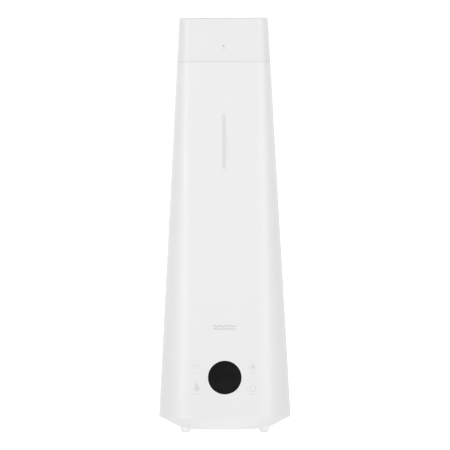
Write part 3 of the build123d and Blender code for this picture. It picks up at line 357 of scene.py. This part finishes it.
def translucent(name, colour, rough=0.3, **constants):
    """Milky moulded plastic: even, with soft flow marks and a fine grain."""
    recipe = Recipe(name, **constants)
    flow = recipe.noise(7, 2, 0.4, recipe.stretched((1, 1, 0.25)))
    haze = recipe.noise(160, 3, 0.5)
    recipe.colour(recipe.blend(flow, shade(colour, 0.985), shade(colour, 1.01)))
    recipe.rough(recipe.between(haze, rough, rough + 0.06))
    recipe.bumps((recipe.noise(1800, 2, 0.5), 0.003 * MM))
    return recipe.material


def rubbery(name, colour, rough=0.7, grain=1500, depth=0.02, **constants):
    """Rubber or silicone: matt, with a fine grain and dust in it."""
    recipe = Recipe(name, **constants)
    dust = recipe.noise(260, 5, 0.65)
    recipe.colour(recipe.blend(recipe.between(dust, 0, 1), shade(colour, 0.9), shade(colour, 1.1)))
    recipe.rough(recipe.between(recipe.noise(120, 3), rough - 0.08, rough + 0.08))
    recipe.bumps((recipe.cells(grain), depth * MM))
    return recipe.material


def metal(name, colour, rough=0.28, brush=(1, 1, 30), depth=0.002):
    """Bare metal with fine tool marks along one axis."""
    recipe = Recipe(name, Metallic=1.0)
    marks = recipe.noise(600, 3, 0.6, recipe.stretched(brush))
    tone = recipe.noise(90, 3)
    recipe.colour(recipe.blend(tone, shade(colour, 0.9), shade(colour, 1.08)))
    recipe.rough(recipe.between(marks, rough - 0.08, rough + 0.12))
    recipe.bumps((marks, depth * MM))
    return recipe.material


def circuit(name, colour):
    """Solder mask over traces that run both ways."""
    recipe = Recipe(name, Coat_Weight=0.3, Coat_Roughness=0.15)
    across = recipe.between(recipe.bands(95, "X"), 0, 1, 0.80, 0.86)
    along = recipe.between(recipe.bands(80, "Y"), 0, 0.7, 0.86, 0.9)
    traces = recipe.blend(across, colour, shade(colour, 1.7))
    recipe.colour(recipe.blend(along, traces, shade(colour, 1.5)))
    recipe.rough(recipe.between(recipe.noise(300, 3), 0.32, 0.45))
    recipe.bumps((across, 0.03 * MM))
    return recipe.material


def open_foam(name, colour):
    """Reticulated foam: open cells, with painted shade in the hollows between the struts."""
    recipe = Recipe(name, Roughness=0.85)
    cells = recipe.cells(650, "DISTANCE_TO_EDGE")
    # Painted shade: the cell hollows are painted dark and the struts lighter, standing in for shade inside the
    # open cells.
    recipe.colour(recipe.blend(recipe.between(cells, 0, 1, 0.02, 0.22), shade(colour, 1.5), shade(colour, 0.3)))
    recipe.bumps((recipe.between(cells, 1, 0, 0.02, 0.3), 0.6 * MM))
    return recipe.material


def wound_wire(name, colour):
    """Enamelled copper wire wound round a core."""
    recipe = Recipe(name, Metallic=0.85, Coat_Weight=0.6, Coat_Roughness=0.1)
    turns = recipe.bands(330, "X")
    # Painted shade: the colour darkens in the grooves between the turns, standing in for shade between the round
    # wires.
    recipe.colour(recipe.blend(turns, shade(colour, 0.45), colour))
    recipe.rough(recipe.between(turns, 0.4, 0.25))
    recipe.bumps((turns, 0.2 * MM))
    return recipe.material


WHITE = (0.83, 0.83, 0.828)
seam_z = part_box("outer_housing")[1].z
looks = {
    "housing_white": moulded("housing_white", WHITE, seam_shade_z=seam_z),
    "pan_white": moulded("pan_white", shade(WHITE, 0.985), 0.48),
    "basin_white": moulded("basin_white", (0.78, 0.80, 0.81), 0.3, grain_depth=0.004),
    "tank_clear": translucent("tank_clear", (0.91, 0.95, 0.965), 0.2, Transmission_Weight=0.85, IOR=1.49),
    "display_black": polished("display_black", (0.004, 0.004, 0.0045), 0.12, IOR=1.45),
    "window_frosted": moulded("window_frosted", (0.775, 0.776, 0.776), 0.35, grain_depth=0.006, Coat_Weight=0.2),
    "foot_rubber": rubbery("foot_rubber", (0.74, 0.74, 0.735)),
    "silicone": rubbery("silicone", (0.72, 0.73, 0.74), 0.5, depth=0.006, Transmission_Weight=0.1),
    "steel": metal("steel", (0.62, 0.62, 0.63)),
    "bearing_bronze": metal("bearing_bronze", (0.70, 0.48, 0.24), 0.35),
    "winding_copper": wound_wire("winding_copper", (0.78, 0.34, 0.16)),
    "aluminium": metal("aluminium", (0.74, 0.75, 0.76), 0.34, (1, 12, 1), 0.004),
    "black_plastic": moulded("black_plastic", (0.028, 0.028, 0.03), 0.45, variation=0.06),
    "board_green": circuit("board_green", (0.02, 0.13, 0.055)),
    "connector_cream": moulded("connector_cream", (0.74, 0.69, 0.56), 0.4),
    "capacitor_sleeve": polished("capacitor_sleeve", (0.03, 0.05, 0.12), 0.25),
    "contact_foam": open_foam("contact_foam", (0.05, 0.05, 0.055)),
    "float_foam": rubbery("float_foam", (0.84, 0.84, 0.82), 0.6, 900, 0.05),
    "ferrite": rubbery("ferrite", (0.06, 0.06, 0.065), 0.5, 900, 0.03),
    "filter_foam": open_foam("filter_foam", (0.10, 0.105, 0.11)),
    "lead_jacket": rubbery("lead_jacket", (0.05, 0.05, 0.055), 0.5, 700, 0.01),
}
for subpart in frame["record"]["subparts"]:
    mesh = nodes[subpart["node"]].data
    mesh.materials.clear()
    mesh.materials.append(looks[subpart["material_slot"]])
# Painted shade: the cap gets a slightly darker copy of the housing white, standing in for the weaker light on the
# top of the body.
nodes["top_cap"].data.materials[0] = moulded("cap_shaded_white", shade(WHITE, 0.985), seam_shade_z=seam_z)

# ---------------------------------------------------------------- printed marks
INK_PROUD = 0.06 * MM  # how far a print stands out of the wall
INK_SUNK = 0.03 * MM
INK_STEP = 0.35 * MM  # length of the straight steps in an arc


def ink(name, grey):
    """Pad-printed ink: a slightly uneven film with a satin surface."""
    recipe = Recipe(name)
    grain = recipe.noise(1800, 3, 0.6)
    recipe.colour(recipe.blend(grain, (grey * 0.95,) * 3, (grey * 1.05,) * 3))
    recipe.rough(recipe.between(grain, 0.42, 0.55))
    recipe.bumps((grain, 0.004 * MM))
    return recipe.material


PALE_INK = ink("pale_ink", 0.70)
GREY_INK = ink("grey_ink", 0.55)
DARK_INK = ink("dark_ink", 0.22)
FOIL = metal("foil", (0.70, 0.71, 0.72), 0.42, (40, 1, 1), 0.001)


def arc(centre, radius, start, turn):
    """Points along an arc, angles in degrees."""
    steps = max(4, ceil(abs(radians(turn)) * radius / INK_STEP))
    angles = [radians(start + turn * i / steps) for i in range(steps + 1)]
    return [(centre[0] + radius * cos(a), centre[1] + radius * sin(a)) for a in angles]


def stroke(points, width):
    """Outline of a line of even width with round ends."""
    half = width / 2
    left, right = [], []
    for i, point in enumerate(points):
        before = Vector(points[max(i - 1, 0)])
        after = Vector(points[min(i + 1, len(points) - 1)])
        side = (after - before).normalized().orthogonal() * half
        left.append(Vector(point) + side)
        right.append(Vector(point) - side)
    heading = degrees(atan2(points[-1][1] - points[-2][1], points[-1][0] - points[-2][0]))
    tail = degrees(atan2(points[1][1] - points[0][1], points[1][0] - points[0][0]))
    end_cap = arc(points[-1], half, heading + 90, -180)[1:-1]
    start_cap = arc(points[0], half, tail - 90, -180)[1:-1]
    return [tuple(p) for p in left] + end_cap + [tuple(p) for p in reversed(right)] + start_cap


def printed(name, outlines, place, body, material):
    """Thin raised print: each outline becomes a closed plate in the frame that place gives."""
    mesh = bpy.data.meshes.new(name)
    build = bmesh.new()
    for outline in outlines:
        rings = []
        for height in (-INK_SUNK, INK_PROUD):
            rings.append([build.verts.new((x, y, height)) for x, y in outline])
        bottom, top = rings
        count = len(outline)
        build.faces.new(top)
        build.faces.new(list(reversed(bottom)))
        for i in range(count):
            j = (i + 1) % count
            build.faces.new((bottom[i], bottom[j], top[j], top[i]))
    bmesh.ops.recalc_face_normals(build, faces=build.faces)
    bmesh.ops.triangulate(build, faces=[f for f in build.faces if len(f.verts) > 4])
    build.to_mesh(mesh)
    build.free()
    mesh.transform(place)
    mesh.materials.append(material)
    piece = new_object(name, mesh)
    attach(piece, body)


def moved(outline, x, y):
    """An outline, shifted."""
    return [(px + x, py + y) for px, py in outline]


def drop_outline(width):
    """A water drop: a round belly and two straight flanks that meet in a tip."""
    radius = width / 2
    rise = 2.35 * radius  # height of the tip above the belly's centre
    touch = degrees(atan2(radius, (rise * rise - radius * radius) ** 0.5))
    return arc((0, 0), radius, touch, -(180 + 2 * touch)) + [(0, rise)]


def rounded_plate(width, height, corner):
    """Outline of a plate with round corners."""
    outline = []
    for turn, (x, y) in zip((0, 90, 180, 270), ((1, 1), (-1, 1), (-1, -1), (1, -1))):
        outline += arc((x * (width / 2 - corner), y * (height / 2 - corner)), corner, turn, 90)
    return outline


KEY_X, KEY_UP = 43 * MM, 16.5 * MM  # key marks, from the middle of the display
LINE, FINE_LINE = 0.9 * MM, 0.7 * MM
DASH_HALF, DASH_DOWN = 4 * MM, 9 * MM
GAUGE_R, NEEDLE_TIP = 4.8 * MM, (2.1 * MM, 2.4 * MM)
DROP_WIDTH = 8.4 * MM
SUN_R, RAY_TURN = 2.6 * MM, 45
RAY_START, RAY_END = 4.0, 5.8  # millimetres
POWER_R, BAR_FOOT, BAR_HEAD = 4.6 * MM, 1.6 * MM, 6.0 * MM


def make_key_marks():
    """The four touch keys: a small sign each, with a dash below it."""
    gauge = [stroke(arc((0, 0), GAUGE_R, 220, -260), LINE), stroke([(0, 0), NEEDLE_TIP], LINE)]
    drop = [drop_outline(DROP_WIDTH)]
    sun = [arc((0, 0), SUN_R, 0, 360)[:-1]]
    for turn in range(0, 360, RAY_TURN):
        direction = Vector((cos(radians(turn)), sin(radians(turn))))
        sun.append(stroke([tuple(direction * RAY_START * MM), tuple(direction * RAY_END * MM)], LINE))
    power = [stroke(arc((0, 0), POWER_R, 60, -300), LINE), stroke([(0, BAR_FOOT), (0, BAR_HEAD)], LINE)]
    signs = {
        "gauge": (gauge, -KEY_X, KEY_UP),
        "drop": (drop, -KEY_X, -KEY_UP),
        "sun": (sun, KEY_X, KEY_UP),
        "power": (power, KEY_X, -KEY_UP),
    }
    place = wall_frame("outer_housing", middle("display_lens").z)
    for label, (outlines, x, y) in signs.items():
        dash = stroke([(-DASH_HALF, -DASH_DOWN), (DASH_HALF, -DASH_DOWN)], LINE)
        printed(f"key_mark_{label}", [moved(o, x, y) for o in [*outlines, dash]], place, "base", PALE_INK)


EMBLEM_Z = 165.5 * MM
EMBLEM_LENGTH, EMBLEM_WAVES, EMBLEM_HEIGHT = 34 * MM, 4, 1.3 * MM
EMBLEM_HALF, EMBLEM_LINE = 2.1 * MM, 1.1 * MM  # each ripple from the middle, and its width
WAVE_STEPS = 12  # straight steps in one wave


def make_emblem():
    """A plain pattern of two ripples above the display."""
    ripples = []
    for y in (-EMBLEM_HALF, EMBLEM_HALF):
        points = []
        for i in range(EMBLEM_WAVES * WAVE_STEPS + 1):
            along = i / (EMBLEM_WAVES * WAVE_STEPS)
            x = (along - 0.5) * EMBLEM_LENGTH
            points.append((x, y + EMBLEM_HEIGHT * sin(2 * pi * EMBLEM_WAVES * along)))
        ripples.append(stroke(points, EMBLEM_LINE))
    printed("emblem", ripples, wall_frame("outer_housing", EMBLEM_Z), "base", GREY_INK)


TICKS, TICK_X, TICK_TOP, TICK_STEP = 8, 4.2 * MM, 14 * MM, 6 * MM
TICK_LONG, TICK_SHORT = 3.6 * MM, 2.2 * MM


def make_window_scale():
    """Short ticks beside the level window, with a longer one for every third."""
    ticks = []
    for i in range(TICKS):
        length = TICK_LONG if i % 3 == 0 else TICK_SHORT
        y = TICK_TOP - i * TICK_STEP
        ticks.append(stroke([(TICK_X, y), (TICK_X + length, y)], FINE_LINE))
    printed("window_scale", ticks, wall_frame("outer_housing", middle("window_lens").z), "base", PALE_INK)


CAP_MARK_Z, DOT_R = 597 * MM, 0.9 * MM
ARCS_DOWN, ARC_RADII = 9.5 * MM, (4.4 * MM, 6.2 * MM)


def make_cap_mark():
    """A dot over two short arcs on the front of the cap."""
    place = wall_frame("outer_housing", CAP_MARK_Z)
    printed("cap_mark_dot", [arc((0, 0), DOT_R, 0, 360)[:-1]], place, "cap", DARK_INK)
    arcs = [stroke(arc((0, -ARCS_DOWN), radius, 120, -60), FINE_LINE) for radius in ARC_RADII]
    printed("cap_mark_arcs", arcs, place, "cap", PALE_INK)


TANK_SCALE_Z, TANK_SCALE_X, TANK_STEP = 200 * MM, -44 * MM, 12 * MM
TANK_TICKS, TANK_LONG, TANK_SHORT = 31, 11 * MM, 6 * MM


def make_tank_scale():
    """Graduations on the front of the tank, with a longer one for every fifth."""
    ticks = []
    for i in range(TANK_TICKS):
        length = TANK_LONG if i % 5 == 0 else TANK_SHORT
        ticks.append(stroke([(TANK_SCALE_X, i * TANK_STEP), (TANK_SCALE_X + length, i * TANK_STEP)], LINE))
    printed("tank_scale", ticks, wall_frame("water_tank", TANK_SCALE_Z), "tank", GREY_INK)


PLATE_WIDTH, PLATE_HEIGHT, PLATE_CORNER = 54 * MM, 30 * MM, 2 * MM
PLATE_Y, PLATE_Z = 26 * MM, 6.44 * MM  # middle of the shallow panel in the pan's underside, and its ceiling
RULE_LENGTHS = (36 * MM, 20 * MM, 44 * MM, 28 * MM, 40 * MM)
RULE_X, RULE_TOP, RULE_STEP, RULE_LINE = -22 * MM, 10 * MM, 5 * MM, 0.8 * MM


def make_rating_plate():
    """A foil plate in the pan's shallow panel, with a blank ruled pattern."""
    place = frame_at((0, PLATE_Y, PLATE_Z), RIGHT, Vector((0, -1, 0)))
    printed("rating_plate", [rounded_plate(PLATE_WIDTH, PLATE_HEIGHT, PLATE_CORNER)], place, "base", FOIL)
    rules = []
    for i, length in enumerate(RULE_LENGTHS):
        y = RULE_TOP - i * RULE_STEP
        rules.append(stroke([(RULE_X, y), (RULE_X + length, y)], RULE_LINE))
    place = frame_at((0, PLATE_Y, PLATE_Z - INK_PROUD), RIGHT, Vector((0, -1, 0)))
    printed("rating_rules", rules, place, "base", DARK_INK)


HEAD_R, HEAD, SHANK_R = 3.0 * MM, 1.8 * MM, 1.4 * MM
DOME, DOME_EDGE = 0.7 * MM, 0.8 * MM  # depth of the head's curve, and where its straight side starts
THREAD_START, THREAD_RISE, PITCH, THREAD_ROOT = 0.4 * MM, 0.5 * MM, 1.0 * MM, 0.78
POINT = 3 * MM  # plain length before the end of the shank
CROSS_LENGTH, CROSS, CROSS_DEPTH = 3.2 * MM, 0.8 * MM, 1.2 * MM
TURNED_SIDES = 48


def turned(profile, spot, build):
    """Adds a solid of revolution about an upright axis at (x, y). The profile runs from axis to axis."""
    rings = []
    for radius, z in profile:
        if radius == 0:
            rings.append([build.verts.new((spot[0], spot[1], z))])
            continue
        angles = [2 * pi * i / TURNED_SIDES for i in range(TURNED_SIDES)]
        rings.append([build.verts.new((spot[0] + radius * cos(a), spot[1] + radius * sin(a), z)) for a in angles])
    for lower, upper in zip(rings, rings[1:]):
        for i in range(TURNED_SIDES):
            j = (i + 1) % TURNED_SIDES
            corners = [lower[i % len(lower)], lower[j % len(lower)], upper[j % len(upper)], upper[i % len(upper)]]
            build.faces.new(list(dict.fromkeys(corners)))


def mesh_from(build, name):
    """Closes a bmesh into a mesh with its faces turned out."""
    bmesh.ops.recalc_face_normals(build, faces=build.faces)
    mesh = bpy.data.meshes.new(name)
    build.to_mesh(mesh)
    build.free()
    return mesh


def make_pan_screws():
    """The four screws under the pan: domed heads with a cross recess, threaded shanks and points."""
    low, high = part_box("pan_screws")
    spots = [(x, y) for x in (low.x + HEAD_R, high.x - HEAD_R) for y in (low.y + HEAD_R, high.y - HEAD_R)]
    profile = [(0, low.z)]
    for turn in (20, 40, 60, 80):
        profile.append((HEAD_R * sin(radians(turn)), low.z + DOME * (1 - cos(radians(turn)))))
    profile += [(HEAD_R, low.z + DOME_EDGE), (HEAD_R, low.z + HEAD), (SHANK_R, low.z + HEAD)]
    z = low.z + HEAD + THREAD_START
    while z < high.z - POINT:
        profile += [(SHANK_R * THREAD_ROOT, z), (SHANK_R, z + THREAD_RISE)]
        z += PITCH
    profile += [(SHANK_R * THREAD_ROOT, z), (0, high.z)]
    build, cutter = bmesh.new(), bmesh.new()
    for x, y in spots:
        turned(profile, (x, y), build)
        for wide, deep in ((CROSS_LENGTH, CROSS), (CROSS, CROSS_LENGTH)):
            place = Matrix.Translation((x, y, low.z)) @ Matrix.Diagonal((wide, deep, 2 * CROSS_DEPTH, 1))
            bmesh.ops.create_cube(cutter, size=1, matrix=place)
    piece = new_object("pan_screws_turned", mesh_from(build, "pan_screws_turned"))
    tool = new_object("cross_cutter", mesh_from(cutter, "cross_cutter"))
    cut = piece.modifiers.new("cross", "BOOLEAN")
    cut.object = tool
    cut.solver = "EXACT"
    cut.use_self = True
    depsgraph = bpy.context.evaluated_depsgraph_get()
    piece.data = bpy.data.meshes.new_from_object(piece.evaluated_get(depsgraph))
    piece.modifiers.clear()
    bpy.data.objects.remove(tool)
    piece.data.name = "pan_screws_turned"
    piece.data.materials.clear()
    piece.data.materials.append(looks["steel"])
    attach(piece, "base")
    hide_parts("pan_screws")


make_floor()
make_world()
make_lights()
make_camera()
bpy.context.scene.view_settings.view_transform = "Standard"
make_key_marks()
make_emblem()
make_window_scale()
make_cap_mark()
make_tank_scale()
make_rating_plate()
make_pan_screws()
